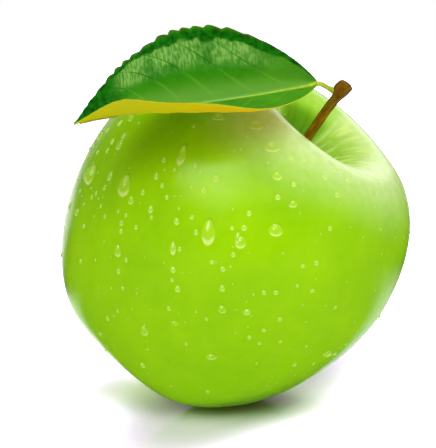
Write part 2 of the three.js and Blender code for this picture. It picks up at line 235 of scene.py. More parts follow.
def smooth_path(points, count):
    """Evenly spaced points along a smooth curve through the given ones, its directions, and its length."""
    steps_between = 60
    knots = np.asarray(points, float)
    padded = np.vstack([2 * knots[0] - knots[1], knots, 2 * knots[-1] - knots[-2]])
    fine = []
    for before, start, end, after in zip(padded, padded[1:], padded[2:], padded[3:]):
        handles = [start, start + (end - before) / 6, end - (after - start) / 6, end]
        fine.append(bezier(handles, np.linspace(0, 1, steps_between, endpoint=False)))
    fine = np.vstack(fine + [knots[-1:]])
    travelled = np.concatenate([[0], np.cumsum(np.linalg.norm(np.diff(fine, axis=0), axis=1))])
    even = np.linspace(0, travelled[-1], count)
    path = np.stack([np.interp(even, travelled, fine[:, axis]) for axis in range(3)], axis=1)
    return path, unit(np.gradient(path, axis=0)), travelled[-1]


def quads(rows, columns, closed_around, start=0):
    """Faces of a grid of points, rows by columns, joined round when closed_around."""
    faces = []
    for row in range(rows - 1):
        low, high = start + row * columns, start + (row + 1) * columns
        for column in range(columns if closed_around else columns - 1):
            following = (column + 1) % columns
            faces.append((low + column, low + following, high + following, high + column))
    return faces


def fan(tip, first, around, outwards=True):
    """Faces that close a ring of points at its tip."""
    faces = [(tip, first + column, first + (column + 1) % around) for column in range(around)]
    return faces if outwards else [face[::-1] for face in faces]


def make_piece(name, points, faces, materials, stands_for=None, face_material=None):
    """A smooth closed piece from points in millimetres, riding on the only body."""
    mesh = bpy.data.meshes.new(name)
    mesh.from_pydata((np.asarray(points) * MM).tolist(), [], faces)
    for material in materials:
        mesh.materials.append(material)
    if face_material is not None:
        mesh.polygons.foreach_set("material_index", face_material)
    shape = bmesh.new()
    shape.from_mesh(mesh)
    bmesh.ops.recalc_face_normals(shape, faces=shape.faces)
    shape.to_mesh(mesh)
    shape.free()
    mesh.shade_smooth()
    piece = bpy.data.objects.new(name, mesh)
    bpy.context.scene.collection.objects.link(piece)
    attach(piece, "root")
    if stands_for:
        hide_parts(stands_for)
    return piece


def add_point_values(piece, name, values):
    attribute = piece.data.attributes.new(name, "FLOAT", "POINT")
    attribute.data.foreach_set("value", np.asarray(values, np.float32))


# Fruit

def fruit_outline():
    """Points from the floor of the stem cavity over the shoulder, girth and base ring to the calyx basin."""
    floor = (0, FRUIT_HEIGHT - CAVITY_DEPTH)
    shoulder = (SHOULDER_RADIUS, FRUIT_HEIGHT)
    girth = (FRUIT_RADIUS, GIRTH_HEIGHT)
    ring = (BASE_RADIUS, 0)
    basin = (0, BASIN_DEPTH)
    outside_shoulder = SHOULDER_RADIUS + HOLD["shoulder"] * (FRUIT_RADIUS - SHOULDER_RADIUS)
    cheek = GIRTH_HEIGHT + HOLD["cheek"] * (FRUIT_HEIGHT - GIRTH_HEIGHT)
    heel = BASE_RADIUS + HOLD["heel"] * (FRUIT_RADIUS - BASE_RADIUS)
    stretches = {
        "cavity": [floor, (HOLD["floor"] * SHOULDER_RADIUS, floor[1]),
                   ((1 - HOLD["lip"]) * SHOULDER_RADIUS, FRUIT_HEIGHT), shoulder],
        "shoulder": [shoulder, (outside_shoulder, FRUIT_HEIGHT), (FRUIT_RADIUS, cheek), girth],
        "flank": [girth, (FRUIT_RADIUS, (1 - HOLD["flank"]) * GIRTH_HEIGHT), (heel, 0), ring],
        "basin": [ring, ((1 - HOLD["ring"]) * BASE_RADIUS, 0),
                  (HOLD["basin"] * BASE_RADIUS, BASIN_DEPTH), basin],
    }
    parts = [bezier(points, np.linspace(0, 1, FRUIT_ROWS[name], endpoint=False))
             for name, points in stretches.items()]
    return np.vstack(parts + [np.array([basin], float)])


def lying(upright):
    """From the upright fruit's own frame to the part's frame."""
    x, y, z = np.moveaxis(upright, -1, 0)
    turned = [x * math.cos(LEAN) + z * math.sin(LEAN), y, z * math.cos(LEAN) - x * math.sin(LEAN)]
    return np.stack(turned, axis=-1) + CALYX_END


def uneven_fruit(radius, height, turn):
    """The turned shape made fuller on one side, slightly oval, ribbed, and higher on one shoulder."""
    outwards = radius / FRUIT_RADIUS
    up = np.clip(height / FRUIT_HEIGHT, 0, 1)
    ribbed = 1 - (1 - RIBS["at_girth"]) * np.sin(math.pi * up)
    swelling = 1 + outwards * (
        FULLER_SIDE["share"] * np.cos(turn - FULLER_SIDE["towards"])
        + OVAL["share"] * np.cos(2 * (turn - OVAL["towards"]))
        + RIBS["share"] * ribbed * np.cos(RIBS["count"] * (turn - RIBS["towards"])))
    x = radius * np.cos(turn) * swelling
    y = radius * np.sin(turn) * swelling
    return np.stack([x, y, height * (1 + SHOULDER_SLOPE / FRUIT_HEIGHT * x)], axis=-1)


def skin_relief(radius, height, turn, upright):
    """How far the skin stands out: fine furrows down into the stem cavity, and soft lumps all over."""
    draw = np.random.default_rng(SEED)
    in_cavity = (height > FRUIT_HEIGHT - CAVITY_DEPTH - 1) & (radius < FURROWS["to"])
    strength = smoothstep(radius, FURROWS["from"], FURROWS["deepest"]) * in_cavity
    strength = strength * (1 - smoothstep(radius, FURROWS["deepest"], FURROWS["to"]))
    sway = FURROWS["sway"] * np.sin(FURROWS["sways"] * turn)
    furrows = sum(np.cos(count * turn + draw.uniform(*ANY_PHASE) + sway) for count in FURROWS["counts"])
    relief = FURROWS["depth"] / len(FURROWS["counts"]) * furrows * strength
    for _ in range(LUMPS["count"]):
        way = unit(draw.normal(size=3))
        wave = 2 * math.pi / draw.uniform(LUMPS["shortest"], LUMPS["longest"])
        relief = relief + LUMPS["height"] * np.sin(upright @ (way * wave) + draw.uniform(*ANY_PHASE))
    return relief


def fruit_surface(material):
    """Makes the skin, and gives its surface for sight lines and drops."""
    outline = fruit_outline()
    radius, height = (outline[:, axis, None] + np.zeros(FRUIT_AROUND) for axis in (0, 1))
    turn = full_turn(FRUIT_AROUND) + 0 * radius
    upright = uneven_fruit(radius, height, turn)
    around = np.roll(upright, -1, axis=1) - np.roll(upright, 1, axis=1)
    normal = unit(np.cross(np.gradient(upright, axis=0), around))
    points = lying(upright + normal * skin_relief(radius, height, turn, upright)[..., None])
    points[..., 2] = np.maximum(points[..., 2], 0)
    points = np.vstack([points[0, :1], points[1:-1].reshape(-1, 3), points[-1, :1]])
    ring_count = len(outline) - 2
    last_ring = 1 + (ring_count - 1) * FRUIT_AROUND
    faces = quads(ring_count, FRUIT_AROUND, True, start=1)
    faces += fan(0, 1, FRUIT_AROUND, outwards=False) + fan(len(points) - 1, last_ring, FRUIT_AROUND)
    make_piece("fruit_skin", points, faces, [material], "fruit")
    outward_faces = [face[::-1] for face in faces]
    return BVHTree.FromPolygons((points * MM).tolist(), outward_faces)


# Stem, sepals and other slender pieces

def tube(path, ahead, sizes, around, start=0):
    """Points and faces of a closed tube; sizes gives half width and half thickness at each step."""
    side = np.cross(ahead[0], [0.0, 0.0, 1.0])
    if np.linalg.norm(side) < 0.1:
        side = np.cross(ahead[0], [0.0, 1.0, 0.0])
    turns = full_turn(around)
    rows = []
    for centre, direction, (width, thickness) in zip(path, ahead, sizes):
        side = unit(side - direction * (side @ direction))
        over = np.cross(direction, side)
        ring = (width * np.cos(turns))[:, None] * side + (thickness * np.sin(turns))[:, None] * over
        rows.append(centre + ring)
    last_row = start + (len(path) - 1) * around
    end = last_row + around
    faces = quads(len(path), around, True, start)
    faces += fan(end, start, around, outwards=False) + fan(end + 1, last_row, around)
    return np.vstack(rows + [path[:1], path[-1:]]), faces


def stem(material):
    around, steps = STEM_MESH["around"], STEM_MESH["rows"]
    path, ahead, length = smooth_path(STEM_PATH, steps)
    draw = np.random.default_rng(SEED)
    along = np.linspace(0, length, steps)
    root = (STEM_RADIUS["root"] - STEM_RADIUS["shaft"]) * np.clip(1 - along / STEM_ROOT_REACH, 0, 1) ** 2
    swelling = smoothstep(along, length - KNOB["length"], length - 2.0 * KNOB["rounding"])
    knob = (STEM_RADIUS["knob"] - STEM_RADIUS["shaft"]) * swelling
    closing = np.clip((along - length + KNOB["rounding"]) / KNOB["rounding"], 0, 1)
    radius = (STEM_RADIUS["shaft"] + root + knob) * np.sqrt(1 - KNOB["narrowing"] * closing ** 2.5)
    ridges = sum(np.cos(count * full_turn(around) + draw.uniform(*ANY_PHASE)
                        + BARK_RIDGES["twist"] * np.sin(along[:, None] / pitch))
                 for count, pitch in BARK_RIDGES["counts_and_pitches"]) / 3
    rings = sum(np.sin(along / pitch + draw.uniform(*ANY_PHASE)) for pitch in BARK_RINGS["pitches"]) / 3
    sizes = radius[:, None] * (1 + BARK_RIDGES["share"] * ridges + BARK_RINGS["share"] * rings[:, None])
    points, faces = tube(path, ahead, [(size, size) for size in sizes], around)
    # The leaf's stalk grows out of a small swelling on the side of the knob
    from_scar = (along - length + STALK_SCAR["before_end"]) / STALK_SCAR["reach"]
    scar = STALK_SCAR["height"] * np.exp(-from_scar ** 2)
    to_stalk = np.array(PETIOLE_START) - path[-1]
    flat = unit(to_stalk - ahead * (ahead @ to_stalk)[:, None])
    bark = points[:steps * around].reshape(steps, around, 3)
    outwards = unit(bark - path[:, None])
    facing = np.clip((outwards * flat[:, None]).sum(-1), 0, 1) ** 2
    bark += outwards * (scar[:, None] * facing)[..., None]
    points[-1] = path[-1] - ahead[-1] * KNOB["hollow"]
    make_piece("stem_wood", points, faces, [material], "stem")


def calyx(material):
    """Sepals, stamens and the disc that they stand on, drawn upright and then laid with the fruit."""
    points, faces = [], []

    def add(path, ahead, sizes, around):
        more_points, more_faces = tube(path, ahead, sizes, around, start=sum(map(len, points)))
        points.append(more_points)
        faces.extend(more_faces)

    def around_core(radius, turn, height):
        return (radius * math.cos(turn), radius * math.sin(turn), BASIN_DEPTH + height)

    for number in range(SEPALS):
        turn = RIBS["towards"] + 2 * math.pi * number / SEPALS
        path, ahead, _ = smooth_path([around_core(r, turn, h) for r, h in SEPAL_PATH], SEPAL_MESH["rows"])
        share = np.linspace(0, 1, SEPAL_MESH["rows"])
        taper = SEPAL["tip"] + (1 - SEPAL["tip"]) * np.sin(math.pi * (0.3 + 0.7 * share))
        sizes = [(SEPAL["half_width"] * t, SEPAL["half_thickness"] * math.sqrt(t)) for t in taper]
        add(path, ahead, sizes, SEPAL_MESH["around"])
    foot, bow, length = STAMENS["ring"], STAMENS["turn"], STAMENS["length"]
    for number in range(STAMENS["count"]):
        turn = 2 * math.pi * number / STAMENS["count"]
        middle = foot + STAMENS["spread"] * (1.0 + 0.35 * math.sin(5 * turn + number))
        knots = [around_core(foot, turn, 0), around_core(middle, turn + bow, -0.6 * length),
                 around_core(foot, turn + 2 * bow, -length)]
        path, ahead, _ = smooth_path(knots, STAMEN_MESH["rows"])
        add(path, ahead, [(STAMENS["radius"],) * 2] * len(path), STAMEN_MESH["around"])
    core = np.array([(0, 0, BASIN_DEPTH + height) for height, _ in CALYX_DISC])
    downwards = np.tile([0.0, 0.0, -1.0], (len(core), 1))
    add(core, downwards, [(share * CALYX_DISC_RADIUS,) * 2 for _, share in CALYX_DISC], 28)
    make_piece("dried_calyx", lying(np.vstack(points)), faces, [material], "calyx")


# Leaf

def blade_outline(half, along):
    widest = half["base"] / (half["base"] + TIP_POINT)
    inner = np.clip(along, 1e-9, 1 - 1e-9)
    return (inner / widest) ** half["base"] * ((1 - inner) / (1 - widest)) ** TIP_POINT


def tooth_height(half, along):
    """Rounded, slightly uneven teeth that point towards the tip, fading out next to the stalk."""
    phase = (along * TEETH["count"] + 0.22 * np.sin(23 * along + 40 * half["base"])) % 1
    rising = np.sin(np.clip(phase / TEETH["point"], 0, 1) * math.pi / 2)
    rise = np.where(phase < TEETH["point"], rising, (1 - phase) / (1 - TEETH["point"]))
    fading = smoothstep(along, TEETH["from"], TEETH["full"]) * np.minimum(1, 2 * blade_outline(half, along))
    return TEETH["height"] * half["teeth"] * rise * fading * (1 + 0.25 * np.sin(31 * along))


def side_vein_pattern(along, across):
    """1 on a side vein, falling to 0 within its width; and 0 on the veins, 1 in the middle between them."""
    share = np.abs(across)
    start = along - SIDE_VEINS["sweep"] * share - SIDE_VEINS["curl"] * share ** 2
    position = (start - SIDE_VEINS["first"]) / SIDE_VEINS["step"]
    away = np.abs(position - np.clip(np.round(position), 0, SIDE_VEINS["count"] - 1))
    width = VEIN_WIDTH["side"] * (1.2 - 0.6 * share)
    strength = np.clip(1.1 - share, 0, 1) ** 0.5
    vein = np.exp(-(away * SIDE_VEINS["apart"] / width) ** 2) * strength
    return vein, 1 - np.cos(math.pi * np.clip(away, 0, 0.5)) ** 2


def blade_surface(along, across):
    """Points in the middle of the blade's thickness; along runs from base to tip, across from -1 to 1."""
    centre = bezier(MIDRIB, along)
    start, first, second, end = (np.asarray(p, float) for p in MIDRIB)
    t = along[:, None]
    tangent = (1 - t) ** 2 * (first - start) + 2 * (1 - t) * t * (second - first) + t * t * (end - second)
    tangent = unit(tangent)
    back = unit(np.cross(tangent, [0.0, 0.0, 1.0]))
    up = np.cross(back, tangent)
    share = np.abs(across)[None, :]
    points = np.zeros((len(along), len(across), 3))
    for half, side, sign in ((BACK_HALF, across >= 0, 1), (FRONT_HALF, across < 0, -1)):
        outline = blade_outline(half, along)[:, None]
        width = BLUNT + half["width"] * outline
        rib, margin = (np.radians(low + (high - low) * t) for low, high in (half["rib"], half["margin"]))
        bend = np.where(np.abs(margin - rib) < 1e-3, 1e-3, margin - rib)
        angle = rib + bend * share
        outwards = width * (np.sin(angle) - np.sin(rib)) / bend
        upwards = width * (np.cos(rib) - np.cos(angle)) / bend
        tooth = tooth_height(half, along)[:, None] * smoothstep(share, 0.93, 1.0)
        wave = WAVES["height"] * share ** 2 * np.sin(2 * math.pi * WAVES["count"] * t) * outline
        outwards = sign * (outwards + tooth * np.cos(angle) - wave * np.sin(angle))
        upwards = upwards + tooth * np.sin(angle) + wave * np.cos(angle)
        made = centre[:, None] + outwards[..., None] * back[:, None] + upwards[..., None] * up[:, None]
        points[:, side] = made[:, side]
    return points


def leaf_stalk(start):
    """The stalk from the stem's knob, which runs on below the blade as its midrib."""
    under_rib = bezier(MIDRIB, RIB_UNDER_BLADE) - [0, 0, BLADE_THICKNESS]
    foot, leaf_base = np.array(PETIOLE_START), np.array(MIDRIB[0], float)
    bow = (foot + leaf_base) / 2 + [0, 0, 0.1]
    path, ahead, length = smooth_path([foot, bow, leaf_base, *under_rib], STALK_MESH["rows"])
    travelled = np.linspace(0, length, STALK_MESH["rows"])
    petiole = np.linalg.norm(bow - foot) + np.linalg.norm(leaf_base - bow)
    on_rib = np.clip((travelled - petiole) / (length - petiole), 0, 1)
    swelling = PETIOLE_FOOT["extra"] * np.clip(1 - travelled / PETIOLE_FOOT["reach"], 0, 1)
    radius = np.where(travelled < petiole, PETIOLE_RADIUS + swelling,
                      RIB_RADIUS["base"] + (RIB_RADIUS["tip"] - RIB_RADIUS["base"]) * on_rib)
    return tube(path, ahead, [(r, r * 0.9) for r in radius], STALK_MESH["around"], start)


def leaf(upper_material, under_material, stalk_material):
    rows, half_columns = BLADE_MESH["rows"], BLADE_MESH["columns_a_half"]
    along = np.linspace(0, 1, rows)
    even = np.linspace(0, 0.5, half_columns + 1)
    spread = even + 0.5 * np.sin(math.pi * even)
    across = np.concatenate([-spread[:0:-1], spread])
    share = np.abs(across)[None, :]
    columns = len(across)
    middle = blade_surface(along, across)
    normal = unit(np.cross(np.gradient(middle, axis=1), np.gradient(middle, axis=0)))
    vein, between = side_vein_pattern(along[:, None], across[None, :])
    widths = [BLUNT + half["width"] * blade_outline(half, along)[:, None] for half in (FRONT_HALF, BACK_HALF)]
    from_rib = share * np.where(across < 0, *widths)
    rib = np.exp(-(from_rib / (VEIN_WIDTH["midrib"] * (1.25 - along[:, None]))) ** 2)
    calm = smoothstep(from_rib, 0.5, 3.0) * (1 - smoothstep(share, 0.85, 1.0))
    relief = VEIN_DEPTH["pillow"] * (between - 0.5) * calm - VEIN_DEPTH["side"] * vein * calm
    middle = middle + normal * (relief - VEIN_DEPTH["midrib"] * rib)[..., None]
    half_thickness = BLADE_THICKNESS / 2 * (1 - THIN_MARGIN * smoothstep(share, 0.9, 1.0))[..., None]
    upper = (middle + normal * half_thickness).reshape(-1, 3)
    under = (middle - normal * half_thickness).reshape(-1, 3)
    sheet = quads(rows, columns, False)
    offset = rows * columns
    rim = [row * columns for row in range(rows)]
    rim += [(rows - 1) * columns + column for column in range(1, columns)]
    rim += [row * columns + columns - 1 for row in range(rows - 2, -1, -1)]
    rim += list(range(columns - 2, 0, -1))
    faces = sheet + [tuple(offset + corner for corner in reversed(face)) for face in sheet]
    faces += [(first, second, offset + second, offset + first)
              for first, second in zip(rim, rim[1:] + rim[:1])]
    stalk_points, stalk_faces = leaf_stalk(2 * offset)
    face_material = [0] * len(sheet) + [1] * len(sheet) + [0] * len(rim) + [2] * len(stalk_faces)
    piece = make_piece("leaf_blade", np.vstack([upper, under, stalk_points]), faces + stalk_faces,
                       [upper_material, under_material, stalk_material], "leaf", face_material)
    values = {"vein": np.maximum(vein * calm, 0), "midrib": rib, "margin": smoothstep(share, 0.955, 0.99),
              "along": along[:, None], "across": np.sign(across) * from_rib, "share": across}
    for name, value in values.items():
        on_face = np.broadcast_to(value, rib.shape).ravel()
        add_point_values(piece, name, np.concatenate([on_face, on_face, np.zeros(len(stalk_points))]))


# Water drops

def drop_foot(rings, around):
    """Places on a drop's foot from its middle outwards, as shares of its radius."""
    shares = np.sin(np.linspace(0, math.pi / 2, rings + 1))[1:]
    ways = np.array([(math.cos(turn), math.sin(turn)) for turn in full_turn(around)])
    return np.vstack([np.zeros((1, 2))] + [share * ways for share in shares])


def cap_height(share, steepness):
    """Height of a round cap at a share of its radius; steepness is its height over its radius."""
    ball = (1 + steepness ** 2) / (2 * steepness)
    return np.sqrt(np.maximum(ball ** 2 - share ** 2, 0)) - (ball - steepness)


def painted_drop_light(lower, aside, share, width):
    """Painted light and shade under a drop: a bright crescent at its lower edge, a painted highlight streak
    above, and painted shade at the top.
    """
    crescent = smoothstep(share, 0.45, 0.75) * (1 - 0.6 * smoothstep(share, 0.88, 1.0))
    crescent = crescent * smoothstep(lower, 0.1, 0.7)
    in_streak = smoothstep(-lower, -0.1, 0.3) * (1 - smoothstep(-lower, 0.6, 0.9))
    streak = np.exp(-((aside + 0.05) / 0.3) ** 2) * in_streak
    shade = smoothstep(share, 0.7, 0.98) * smoothstep(-lower, -0.3, 0.6)
    all_over = 0.44 if width > SMALLEST_SHADED_DROP else 0.6
    return np.clip(all_over + 0.6 * crescent + 0.35 * streak - 0.4 * shade, 0, 1)


def lay_drop(skin, centre, normal, width, length, tail, rings, around, draw):
    """One drop: its foot follows the skin, it hangs fuller at its lower end, and closes inside the skin.

    Gives the clear dome, the wet skin under it, and the painted light and shade on each point of that skin.
    """
    down = Vector((0, 0, -1)) - normal * -normal.z
    down = down.normalized() if down.length > 0.15 else Vector((1, 0, 0)).cross(normal).normalized()
    side = normal.cross(down)
    lower, aside = drop_foot(rings, around).T
    share = np.hypot(lower, aside)
    lobes = 1 + 0.05 * np.cos(2 * np.arctan2(aside, lower) + draw.uniform(*ANY_PHASE))
    height = width / 2 * cap_height(share, 2 * DROP_HEIGHT) * (1 + 0.3 * lower * (length > width))
    sideways = aside * width / 2 * lobes * (1 + tail * lower)
    dome, patch = [], []
    for downwards, across, high in zip(lower * length / 2 * lobes, sideways, height):
        on_skin, facing, _, _ = skin.find_nearest(centre + (down * downwards + side * across) * MM)
        wet = min(WET_HEIGHT, 0.3 * high) - (WET_HEIGHT if high < 0.02 else 0)
        dome.append((on_skin + facing * (high - DROP_SUNK) * MM) / MM)
        patch.append((on_skin + facing * wet * MM) / MM)
    middle = centre / MM
    for points, depth in ((dome, DROP_SKIRT), (patch, 2 * WET_HEIGHT)):
        points += [point * 0.92 + middle * 0.08 - normal * depth for point in points[-around:]]
        points.append(middle - normal * depth)
    skirt = 1 + rings * around
    faces = fan(0, 1, around) + quads(rings + 1, around, True, start=1)
    faces += fan(skirt + around, skirt, around, outwards=False)
    # Painted light and shade for the skin under this drop
    glow = painted_drop_light(lower, aside, share, width)
    return dome, patch, faces, np.concatenate([glow, np.full(around + 1, 0.5)])


def sight_line(x, y):
    """Camera place and direction of sight through a pixel of the photograph."""
    back, up, place = camera_frame()
    focal = PIXELS_PER_MM * CAMERA_DISTANCE
    direction = RIGHT * ((x - PHOTO_WIDTH / 2) / focal) - up * ((y - PHOTO_HEIGHT / 2) / focal) - back
    return place, direction.normalized()


def seen_drops(skin):
    """Place, slope, sizes and mesh of the drops that the photograph shows."""
    seen = []
    for kind, listed in (("large", LARGE_DROPS), ("small", SMALL_DROPS)):
        for x, y, width, length in listed:
            place, direction = sight_line(x, y)
            hit, normal, _, _ = skin.ray_cast(place, direction)
            if hit is None:
                hit, normal, _, _ = skin.find_nearest(place + direction * CAMERA_DISTANCE * MM)
            tail = DROP_TAIL["long" if length > 1.2 * width else "round"]
            seen.append((hit, normal, width, length, tail, *DROP_MESH[kind]))
    return seen


def mist_drop(skin, laid, draw):
    """One small drop at a drawn place; None if it would lie too low, in a hollow or on another drop."""
    direction = Vector([draw.gauss(0, 1) for _ in range(3)]).normalized()
    hit, normal, _, _ = skin.ray_cast(Vector(FRUIT_MIDDLE * MM) + direction * 0.1, -direction)
    width = MIST["smallest"] + (MIST["largest"] - MIST["smallest"]) * draw.random() ** 2.2
    if hit is None or hit.z < MIST["lowest"] * MM or normal.z < -0.8:
        return None
    if (hit / MM - Vector(CALYX_END)).cross(Vector(CORE_LINE)).length < MIST["off_core_line"]:
        return None
    if any((hit - other[0]).length < (other[2] / 2 + width / 2 + MIST["apart"]) * MM for other in laid):
        return None
    return hit, normal, width, width * draw.uniform(1.0, 1.5), DROP_TAIL["mist"], *DROP_MESH["mist"]


def drops(skin, water, wet_skin_with_painted_light):
    """All drops, as one piece of water and one of wet skin under it, which carries their painted light."""
    draw = random.Random(SEED)
    laid = seen_drops(skin)
    enough = len(laid) + MIST["count"]
    for _ in range(MIST["tries"]):
        drop = mist_drop(skin, laid, draw) if len(laid) < enough else None
        laid += [drop] if drop else []
    domes, patches, faces, glows = [], [], [], []
    for drop in laid:
        dome, patch, more_faces, glow = lay_drop(skin, *drop, draw)
        faces += [tuple(len(domes) + corner for corner in face) for face in more_faces]
        domes += [tuple(point) for point in dome]
        patches += [tuple(point) for point in patch]
        glows.append(glow)
    make_piece("water_drops", domes, faces, [water])
    wet = make_piece("painted_light_under_drops", patches, faces, [wet_skin_with_painted_light])
    add_point_values(wet, "glow", np.concatenate(glows))


# Shared effects of the materials

class Nodes:
    """Short ways to add nodes to one tree."""

    def __init__(self, tree):
        self.tree = tree

    def add(self, kind, values=None, **settings):
        node = self.tree.nodes.new("ShaderNode" + kind)
        for name, value in settings.items():
            setattr(node, name, value)
        for name, value in (values or {}).items():
            self.feed(node.inputs[name], value)
        return node

    def out(self, kind, values=None, **settings):
        return self.add(kind, values, **settings).outputs[0]

    def feed(self, socket, value):
        if isinstance(value, bpy.types.NodeSocket):
            self.tree.links.new(value, socket)
        else:
            socket.default_value = value

    def math(self, operation, first, second=0.0, clamp=False):
        return self.out("Math", {0: first, 1: second}, operation=operation, use_clamp=clamp)

    def times(self, first, *others):
        for other in others:
            first = self.math("MULTIPLY", first, other)
        return first

    def vector(self, operation, first, second=(0, 0, 0)):
        outputs = self.add("VectorMath", {0: first, 1: second}, operation=operation).outputs
        return outputs["Value" if operation in ("LENGTH", "DOT_PRODUCT") else "Vector"]

    def noise(self, place, scale, detail, roughness):
        values = {"Vector": place, "Scale": scale, "Detail": detail, "Roughness": roughness}
        return self.out("TexNoise", values)

    def scaled(self, vector, scale):
        return self.out("VectorMath", {0: vector, "Scale": scale}, operation="SCALE")

    def ranged(self, value, low, high, to_low=0.0, to_high=1.0):
        values = {"Value": value, "From Min": low, "From Max": high, "To Min": to_low, "To Max": to_high}
        return self.out("MapRange", values, interpolation_type="SMOOTHSTEP")

    def cone(self, direction, way, inner, outer, strength=1.0):
        """Strength within an angle of a way, fading to 0 at the outer angle, both in degrees."""
        facing = self.vector("DOT_PRODUCT", direction, way.normalized())
        return self.ranged(facing, math.cos(math.radians(outer)), math.cos(math.radians(inner)), 0, strength)

    def mixed(self, share, first, second):
        return self.add("Mix", {0: share, 6: first, 7: second}, data_type="RGBA").outputs[2]

    def coated(self, colour, *coats):
        """A colour with others laid over it, each given as mask, share and its look on a screen."""
        for mask, share, over in coats:
            colour = self.mixed(self.times(mask, share), colour, linear(*over))
        return colour

    def shared(self, effect, *values):
        return self.out("Group", dict(enumerate(values)), node_tree=bpy.data.node_groups[effect])

    def mottled(self, place, size, contrast):
        return self.shared("mottling", place, size, contrast)

    def specks(self, place, spacing, dot, share):
        return self.shared("specks", place, spacing, dot, share)

    def value_on(self, name):
        """A value that the mesh holds at its points."""
        return self.add("Attribute", attribute_name=name).outputs["Fac"]

    def bumped(self, height, distance, strength):
        return self.out("Bump", {"Height": height, "Strength": strength, "Distance": distance * MM})


def new_group(name, inputs, output):
    """An empty node group with a place and named numbers as inputs, and one named number as output."""
    tree = bpy.data.node_groups.new(name, "ShaderNodeTree")
    tree.interface.new_socket("Place", in_out="INPUT", socket_type="NodeSocketVector")
    for socket_name, value in inputs.items():
        socket = tree.interface.new_socket(socket_name, in_out="INPUT", socket_type="NodeSocketFloat")
        socket.default_value = value
    tree.interface.new_socket(output, in_out="OUTPUT", socket_type="NodeSocketFloat")
    given, wanted = (tree.nodes.new("NodeGroup" + end) for end in ("Input", "Output"))
    return Nodes(tree), given.outputs, wanted.inputs[output]


def mottling_group():
    """Soft uneven patches, from 0 to 1. Size is in millimetres."""
    nodes, given, patch = new_group("mottling", {"Size": 8.0, "Contrast": 2.0}, "Patch")
    scale = nodes.math("DIVIDE", 1000.0, given["Size"])
    noise = nodes.noise(given["Place"], scale, 3.0, 0.55)
    spread = nodes.times(nodes.math("SUBTRACT", noise, 0.5), given["Contrast"])
    nodes.feed(patch, nodes.math("ADD", spread, 0.5, clamp=True))


def specks_group():
    """Small round dots, 1 in their middle. Spacing is the distance between dots, in millimetres."""
    nodes, given, dots = new_group("specks", {"Spacing": 3.0, "Dot": 0.12, "Share": 0.5}, "Dots")
    scale = nodes.math("DIVIDE", 1000.0, given["Spacing"])
    cells = nodes.add("TexVoronoi", {"Vector": given["Place"], "Scale": scale, "Randomness": 1.0}).outputs
    edge = nodes.times(given["Dot"], 0.45)
    dot = nodes.out("MapRange", {"Value": cells["Distance"], "From Min": given["Dot"], "From Max": edge})
    kept = nodes.math("LESS_THAN", nodes.out("SeparateColor", {0: cells["Color"]}), given["Share"])
    nodes.feed(dots, nodes.times(dot, kept))


class Material(Nodes):
    """The nodes of a new material, with its shader and the place on the piece."""

    def __init__(self, name):
        self.made = bpy.data.materials.new(name)
        self.made.use_nodes = True
        super().__init__(self.made.node_tree)
        self.shader = self.tree.nodes["Principled BSDF"]
        self.place = self.add("TexCoord").outputs["Object"]

    def painted(self, **values):
        for name, value in values.items():
            self.feed(self.shader.inputs[name.replace("_", " ")], value)
        return self.made

    def shown_as(self, surface):
        self.feed(self.tree.nodes["Material Output"].inputs["Surface"], surface)
        return self.made


